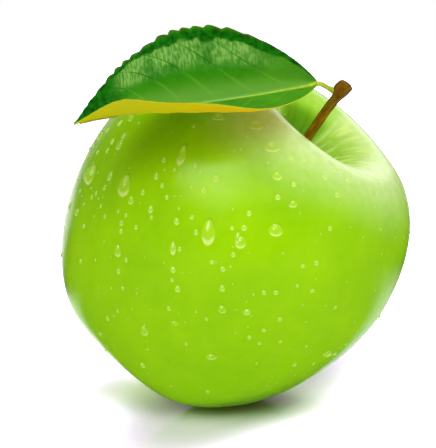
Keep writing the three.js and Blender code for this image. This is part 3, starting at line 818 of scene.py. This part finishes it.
def skin_colour(nodes):
    """The skin's colour with its blotches and freckles, a pale shoulder that is partly painted sheen, painted
    leaf shadow in the stem cavity, and the share that lies down in the cavity.
    """
    upright = nodes.out("Mapping", {"Vector": nodes.place, "Location": Vector(CALYX_END * MM),
                                    "Rotation": (0, LEAN, 0)}, vector_type="TEXTURE")
    x, y, height = nodes.add("SeparateXYZ", {0: upright}).outputs
    flat = nodes.out("CombineXYZ", {0: x, 1: y})
    radius, around = nodes.vector("LENGTH", flat), nodes.vector("NORMALIZE", flat)

    def drawn_out(distance, finely):
        along = nodes.out("CombineXYZ", {2: nodes.times(distance, finely)})
        return nodes.vector("ADD", nodes.scaled(around, 9.0), along)

    streak = nodes.noise(drawn_out(height, 22.0), 2.2, 4.0, 0.6)
    patches = nodes.mottled(upright, 13.0, 2.2)
    blotches = nodes.mottled(upright, 4.5, 2.6)
    freckles = nodes.mottled(upright, 2.2, 2.6)
    dots = nodes.specks(upright, 3.4, 0.13, 0.55)

    # Paler round the shoulder, partly the skin's own colour and partly painted sheen; held back on the side
    # of the cavity where the leaf's shadow is painted
    leaf_shadow_side = nodes.ranged(nodes.vector("DOT_PRODUCT", around, LEAF_SHADOW_SIDE), *LEAF_SHADE_ZONE["facing"])
    ring = nodes.times(
        nodes.ranged(radius, *SHOULDER_ZONE["out"], 0.0, 0.95), nodes.ranged(height, *SHOULDER_ZONE["up"]),
        nodes.ranged(freckles, 0, 1, 0.75, 1), nodes.ranged(radius, *SHOULDER_ZONE["in"], 0.15, 1),
        nodes.ranged(leaf_shadow_side, 0, 1, 1, 0.25))

    # Deeper green down in the cavity, with pale furrows that fade where the leaf's shadow is painted
    deep = nodes.ranged(height, *CAVITY_ZONE["up"])
    in_cavity = nodes.times(nodes.ranged(radius, *CAVITY_ZONE["out"]), deep)
    furrows = nodes.noise(drawn_out(radius, 170.0), 1.0, 2.0, 0.5)
    pale = nodes.times(
        nodes.ranged(furrows, 0.46, 0.62, 0.25, 1.25), nodes.ranged(radius, *FURROW_ZONE["out"]),
        nodes.ranged(radius, *FURROW_ZONE["in"]), deep, nodes.ranged(leaf_shadow_side, 0, 0.5, 0.55, 0))
    # Painted shadow of the leaf, on its side of the cavity
    painted_leaf_shadow = nodes.times(leaf_shadow_side, deep, nodes.ranged(radius, *LEAF_SHADE_ZONE["out"]))
    body = nodes.coated(
        nodes.mixed(patches, linear(142, 206, 1), linear(160, 219, 3)),
        (nodes.ranged(streak, 0.5, 0.75), 0.12, (178, 226, 16)),
        (blotches, 0.1, (186, 232, 24)),
        (freckles, 0.12, (186, 230, 20)),
        # pale shoulder, partly painted sheen
        (ring, 1, (224, 245, 172)),
        (in_cavity, 0.85, (118, 194, 2)),
        (pale, 1, (226, 250, 132)),
        # painted leaf shadow in the cavity
        (painted_leaf_shadow, 0.75, (78, 140, 0)),
        (dots, 0.4, (205, 235, 120)))
    return body, blotches, freckles, in_cavity


def skin_material():
    nodes = Material("apple_skin")
    body, blotches, freckles, in_cavity = skin_colour(nodes)
    roughness = nodes.math("ADD", nodes.ranged(freckles, 0, 1, 0.16, 0.24), nodes.times(in_cavity, 0.4))
    height = nodes.math("ADD", nodes.times(freckles, 0.35), blotches)
    return nodes.painted(Base_Color=body, Roughness=roughness, Specular_IOR_Level=0.18,
                         Normal=nodes.bumped(height, 0.07, 0.5))


def wet_skin_painted_light_material():
    """The skin under a drop, with painted light: a bright crescent at the drop's lower edge, and painted
    shade where the glow is low.
    """
    nodes = Material("wet_apple_skin_painted_light")
    glow = nodes.value_on("glow")
    body = skin_colour(nodes)[0]
    # Painted light under the drop: lighter skin where the glow is high, darker painted shade where it is low
    lighter = nodes.mixed(0.4, body, linear(194, 240, 50))
    wet = nodes.mixed(nodes.ranged(glow, 0.0, 0.45), nodes.scaled(body, 0.75), lighter)
    wet = nodes.coated(wet, (nodes.ranged(glow, 0.45, 1.0), 0.65, (234, 252, 150)))
    return nodes.painted(Base_Color=wet, Roughness=0.5, Specular_IOR_Level=0.1)


def water_material():
    """Clear water for the camera; other rays pass through it unbent, so that it casts no shadow."""
    nodes = Material("clear_water")
    nodes.painted(Base_Color=WHITE, Roughness=0.02, IOR=1.33, Transmission_Weight=1.0)
    seen = nodes.add("LightPath").outputs["Is Camera Ray"]
    surface = {0: seen, 1: nodes.out("BsdfTransparent"), 2: nodes.shader.outputs[0]}
    return nodes.shown_as(nodes.out("MixShader", surface))


def stem_material():
    nodes = Material("stem_bark")
    upright = nodes.out("Mapping", {"Vector": nodes.place, "Rotation": (0, LEAN, 0)}, vector_type="TEXTURE")
    drawn_out = nodes.out("Mapping", {"Vector": upright, "Scale": (1, 1, 0.14)})
    fibre = nodes.mottled(drawn_out, 0.8, 2.6)
    patches = nodes.mottled(upright, 4.0, 2.4)
    dots = nodes.specks(upright, 0.9, 0.2, 0.4)
    bark = nodes.coated(nodes.mixed(fibre, linear(98, 68, 0), linear(154, 120, 8)),
                        (patches, 0.45, (156, 92, 8)), (dots, 0.3, (176, 138, 40)))
    # Painted light low on the stem and painted shade on its knob
    above_table = nodes.add("SeparateXYZ", {0: nodes.place}).outputs[2]
    bark = nodes.scaled(bark, nodes.ranged(above_table, *STEM_LIGHT_AND_SHADE))
    height = nodes.math("ADD", fibre, nodes.times(dots, 0.4))
    return nodes.painted(Base_Color=bark, Roughness=nodes.ranged(fibre, 0, 1, 0.85, 0.65),
                         Specular_IOR_Level=0.12, Normal=nodes.bumped(height, 0.12, 0.8))


def leaf_upper_material():
    """Green with a painted dull sheen of short fibres between the smooth inner part and the painted shade of
    the margin.
    """
    nodes = Material("leaf_upper_face")
    along, across, share, vein, midrib, margin = map(nodes.value_on, LEAF_VALUES)
    blade = nodes.out("CombineXYZ", {0: nodes.times(along, BLADE_LENGTH * MM), 1: nodes.times(across, MM)})
    crosswise = nodes.out("Mapping", {"Vector": blade, "Scale": (1, 0.28, 1)})
    fibres = nodes.mottled(crosswise, 0.55, 4.2)
    patches = nodes.mottled(blade, 7.0, 3.4)
    spots = nodes.mottled(blade, 1.6, 4.0)
    net = nodes.add("TexVoronoi", {"Vector": blade, "Scale": 1100.0}, feature="DISTANCE_TO_EDGE")
    fine_veins = nodes.ranged(net.outputs["Distance"], 0.0, 0.2, 1.0, 0.0)
    back_half = nodes.math("GREATER_THAN", share, 0.0)
    front_half = nodes.math("SUBTRACT", 1.0, back_half)
    out = nodes.math("ABSOLUTE", share)
    light = nodes.math("MAXIMUM", nodes.times(nodes.ranged(along, 0.25, 0.06), back_half), front_half)

    # The inner border of the painted margin shade wanders, and comes closer to the midrib at the tip
    outer = nodes.math("SUBTRACT", out, nodes.ranged(along, 0.4, 0.68, 0.0, 0.07))
    outer = nodes.math("ADD", outer, nodes.ranged(patches, 0, 1, 0.05, -0.05))
    painted_sheen = nodes.times(
        nodes.ranged(out, 0.4, 0.62), nodes.ranged(outer, 0.87, 0.82), nodes.ranged(along, 0.08, 0.2),
        nodes.ranged(along, 0.72, 0.66), back_half, nodes.ranged(fibres, 0, 1, 0.25, 1),
        nodes.ranged(patches, 0, 0.6, 0.3, 1), nodes.ranged(vein, 0.15, 0.5, 1, 0.15))
    # Painted shade on the margin, which curls away from the light, and darker towards the tip
    edge = nodes.math("MAXIMUM", nodes.times(nodes.ranged(outer, 0.8, 0.87), back_half),
                      nodes.times(nodes.ranged(along, 0.64, 0.76), back_half))
    green = nodes.coated(
        nodes.mixed(patches, linear(14, 112, 0), linear(44, 136, 0)),
        # on the back half, painted light towards the midrib
        (nodes.times(nodes.ranged(out, 0.55, 0.1), back_half), 0.7, (84, 160, 16)),
        (nodes.times(nodes.ranged(out, 0.36, 0.04), back_half), 0.7, (120, 176, 70)),
        (light, 0.26, (120, 176, 50)),
        (painted_sheen, 0.9, (136, 182, 88)),
        (fine_veins, 0.08, (110, 170, 60)))
    # Colour of the painted margin shade
    dark = nodes.mixed(spots, linear(0, 66, 0), linear(16, 114, 2))
    pale_rim = nodes.times(front_half, nodes.ranged(along, 0.5, 0.3, 0.1, 0.85))
    green = nodes.coated(
        nodes.mixed(nodes.times(edge, 0.93), green, dark),
        (vein, nodes.ranged(out, 0.55, 0.3, 0.0, 0.38), (136, 188, 70)),
        # further out, side veins are painted as dark creases of shade
        (vein, nodes.ranged(out, 0.4, 0.6, 0.0, 0.5), (10, 90, 0)),
        (midrib, 1, (140, 202, 92)),
        (margin, nodes.math("ADD", pale_rim, 0.1), (170, 204, 40)))
    height = nodes.math("SUBTRACT", nodes.times(fibres, 0.8), nodes.times(fine_veins, 0.3))
    return nodes.painted(Base_Color=nodes.scaled(green, 1.12), Specular_IOR_Level=0.05,
                         Roughness=nodes.ranged(patches, 0, 1, 0.55, 0.45),
                         Normal=nodes.bumped(height, 0.05, 0.7))


def leaf_under_material():
    nodes = Material("leaf_under_face")
    along, _, share, vein, _, margin = map(nodes.value_on, LEAF_VALUES)
    patches = nodes.mottled(nodes.place, 7.0, 1.6)
    yellow = nodes.coated(
        nodes.mixed(nodes.ranged(along, 0.62, 0.16), linear(212, 206, 0), linear(255, 190, 0)),
        (nodes.math("GREATER_THAN", share, 0.0), 0.8, (150, 182, 60)),
        (patches, 0.2, (222, 210, 20)),
        (vein, 0.3, (226, 216, 70)),
        (margin, 0.6, (222, 214, 60)))
    return nodes.painted(Base_Color=yellow, Roughness=0.6, Specular_IOR_Level=0.08,
                         Normal=nodes.bumped(patches, 0.05, 0.4))


def leaf_stalk_material():
    nodes = Material("leaf_stalk")
    patches = nodes.mottled(nodes.place, 1.6, 2.4)
    green = nodes.mixed(patches, linear(150, 186, 30), linear(214, 220, 70))
    return nodes.painted(Base_Color=green, Roughness=0.5, Specular_IOR_Level=0.35,
                         Normal=nodes.bumped(patches, 0.04, 0.5))


def calyx_material():
    nodes = Material("dried_sepals")
    patches = nodes.mottled(nodes.place, 1.4, 2.8)
    fuzz = nodes.mottled(nodes.place, 0.25, 2.4)
    brown = nodes.mixed(patches, linear(70, 52, 26), linear(128, 112, 62))
    brown = nodes.coated(brown, (fuzz, 0.4, (168, 156, 112)))
    return nodes.painted(Base_Color=brown, Roughness=0.9, Specular_IOR_Level=0.2,
                         Normal=nodes.bumped(fuzz, 0.08, 0.8))


# Studio

def camera_frame():
    """Directions back to the camera and up in the picture, and the camera's place in metres."""
    level = math.cos(ELEVATION)
    back = Vector((math.sin(AZIMUTH) * level, -math.cos(AZIMUTH) * level, math.sin(ELEVATION)))
    up = back.cross(RIGHT)
    aside = (PHOTO_WIDTH / 2 - MIDDLE_IN_PHOTO[0]) / PIXELS_PER_MM
    above = (MIDDLE_IN_PHOTO[1] - PHOTO_HEIGHT / 2) / PIXELS_PER_MM
    return back, up, (Vector(FRUIT_MIDDLE) + RIGHT * aside + up * above + back * CAMERA_DISTANCE) * MM


def camera():
    back, _, place = camera_frame()
    data = bpy.data.cameras.new("camera")
    data.sensor_width = SENSOR
    data.lens = PIXELS_PER_MM * CAMERA_DISTANCE / PHOTO_HEIGHT * SENSOR
    data.clip_start = 0.01
    data.clip_end = 50
    holder = bpy.data.objects.new("camera", data)
    holder.location = place
    holder.rotation_euler = back.to_track_quat("Z", "Y").to_euler()
    bpy.context.scene.collection.objects.link(holder)
    bpy.context.scene.camera = holder


def softbox(name, place, width, height, radiance):
    """An even light panel that faces the fruit and that nothing mirrors; lengths are in millimetres."""
    data = bpy.data.lights.new(name, "AREA")
    data.shape = "RECTANGLE"
    data.size = width * MM
    data.size_y = height * MM
    data.energy = radiance * math.pi * width * height * MM * MM
    panel = bpy.data.objects.new(name, data)
    panel.visible_glossy = False
    panel.location = place * MM
    panel.rotation_euler = (place - Vector(FRUIT_MIDDLE)).to_track_quat("Z", "Y").to_euler()
    bpy.context.scene.collection.objects.link(panel)


def surround(highlight_from, sheen_from):
    """White light from all sides, and what the skin mirrors in place of it.

    That is the backdrop behind the fruit and two soft windows, whose directions are given.
    """
    world = bpy.data.worlds.new("white_surround")
    bpy.context.scene.world = world
    world.cycles.sampling_method = "NONE"
    world.use_nodes = True
    nodes = Nodes(world.node_tree)
    direction = nodes.add("TexCoord").outputs["Generated"]
    rising = nodes.add("SeparateXYZ", {0: direction}).outputs[2]
    light = EVEN_LIGHT
    for side, way in {"front": TOWARD, "right": RIGHT, "left": -RIGHT, "back": -TOWARD}.items():
        strength, lowest, highest = SIDE_LIGHTS[side]
        from_side = nodes.ranged(nodes.vector("DOT_PRODUCT", direction, way), 0.2, 0.7, 0, strength)
        above = nodes.ranged(rising, lowest - 0.15, lowest + 0.15)
        below = nodes.ranged(rising, highest + 0.15, highest - 0.15)
        light = nodes.math("ADD", light, nodes.times(from_side, above, below))
    behind = UP * 0.05 - RIGHT * 0.06 - TOWARD
    mirrored = 0.0
    for way, patch in ((behind, BACKDROP), (sheen_from, OVERHEAD), (highlight_from, WINDOW)):
        mirrored = nodes.math("ADD", mirrored, nodes.cone(direction, way, **patch))
    path = nodes.add("LightPath").outputs
    mirror_ray = nodes.math("SUBTRACT", path["Is Glossy Ray"], path["Is Transmission Ray"], clamp=True)
    difference = nodes.times(nodes.math("SUBTRACT", mirrored, light), mirror_ray)
    strength = nodes.math("MAXIMUM", nodes.math("ADD", light, difference), path["Is Camera Ray"])
    background = world.node_tree.nodes["Background"]
    nodes.feed(background.inputs["Color"], WHITE)
    nodes.feed(background.inputs["Strength"], strength)


def floor():
    """A white table: polished near the fruit for the camera, with painted light away from the fruit and a
    painted contact shadow next to it, glowing behind it where the skin mirrors it.
    """
    nodes = Material("white_table")
    nodes.made.cycles.emission_sampling = "NONE"
    nodes.painted(Base_Color=(0.9, 0.9, 0.9, 1), Roughness=0.6, Specular_IOR_Level=0.1,
                  Emission_Color=WHITE, Emission_Strength=FLOOR_GLOW)
    away, outwards = nodes.vector("LENGTH", nodes.place), nodes.vector("NORMALIZE", nodes.place)
    reach = nodes.vector("LENGTH", nodes.vector("MULTIPLY", nodes.place, POLISH["stretch"]))
    far = nodes.ranged(reach, *(distance * MM for distance in POLISH["fades"]))
    # Painted contact shadow round the fruit's foot, and painted light far from it
    contact_shadow_mask = nodes.ranged(away, CONTACT_SHADOW["from"] * MM, CONTACT_SHADOW["to"] * MM)
    shadow = nodes.mixed(contact_shadow_mask, CONTACT_SHADOW["shade"], WHITE)
    colour = nodes.vector("MULTIPLY", nodes.mixed(far, TABLE["near"], TABLE["far"]), shadow)
    bright = nodes.out("BsdfDiffuse", {"Color": colour})
    polish = nodes.out("BsdfAnisotropic", {"Color": POLISH["tint"], "Roughness": POLISH["roughness"]})
    shine = nodes.times(nodes.math("SUBTRACT", 1.0, far), POLISH["share"])
    seen = nodes.out("MixShader", {0: shine, 1: bright, 2: polish})

    beside = nodes.times(nodes.cone(outwards, RIGHT * 0.8 - TOWARD, 28, 46), 0.5)
    close = nodes.math("MAXIMUM", nodes.cone(outwards, RIGHT * -0.7 - TOWARD, 36, 50), beside)
    starts, ends = (distance * MM for distance in MIRRORED_FLOOR["close"])
    close = nodes.times(close, nodes.ranged(away, starts, ends, 0, MIRRORED_FLOOR["close_gain"]))
    glow = nodes.math("MAXIMUM", close, nodes.cone(outwards, RIGHT * -0.06 - TOWARD, 16, 34))
    glow = nodes.math("ADD", nodes.times(glow, MIRRORED_FLOOR["strength"]), MIRRORED_FLOOR["everywhere"])
    mirrored = nodes.out("Emission", {"Color": WHITE, "Strength": glow})
    path = nodes.add("LightPath").outputs
    lit = nodes.out("MixShader", {0: path["Is Glossy Ray"], 1: nodes.shader.outputs[0], 2: mirrored})
    mix = nodes.out("MixShader", {0: path["Is Camera Ray"], 1: lit, 2: seen})

    mesh = bpy.data.meshes.new("floor")
    half = FLOOR_SIZE / 2 * MM
    corners = [(-half, -half, 0), (half, -half, 0), (half, half, 0), (-half, half, 0)]
    mesh.from_pydata(corners, [], [(0, 1, 2, 3)])
    mesh.materials.append(nodes.shown_as(mix))
    table = bpy.data.objects.new("floor", mesh)
    table.location.z = -FLOOR_BELOW * MM
    bpy.context.scene.collection.objects.link(table)


def mirrored_way(skin, x, y):
    """The direction that the skin mirrors at a pixel of the photograph."""
    normals = [skin.ray_cast(*sight_line(x + step_x, y + step_y))[1]
               for step_x in MIRROR_PROBE for step_y in MIRROR_PROBE]
    _, direction = sight_line(x, y)
    return direction.reflect(sum(filter(None, normals), Vector()).normalized())


def studio(skin):
    floor()
    window = mirrored_way(skin, *HIGHLIGHT_IN_PHOTO)
    surround(window, mirrored_way(skin, *SHEEN_IN_PHOTO))
    front = Vector(FRUIT_MIDDLE) + (window + RIGHT * 0.35 + UP * 0.27) * 850
    softbox("front_window", front, 480, 600, 3.6)
    softbox("behind_right", TOWARD * -500 + RIGHT * 420 + UP * 700, 600, 500, 3.2)
    softbox("upper_right", TOWARD * 250 + RIGHT * 500 + UP * 700, 500, 500, 0.3)
    bpy.context.scene.view_settings.view_transform = "Standard"


def build():
    mottling_group()
    specks_group()
    skin = fruit_surface(skin_material())
    stem(stem_material())
    leaf(leaf_upper_material(), leaf_under_material(), leaf_stalk_material())
    calyx(calyx_material())
    drops(skin, water_material(), wet_skin_painted_light_material())
    return skin


camera()
studio(build())
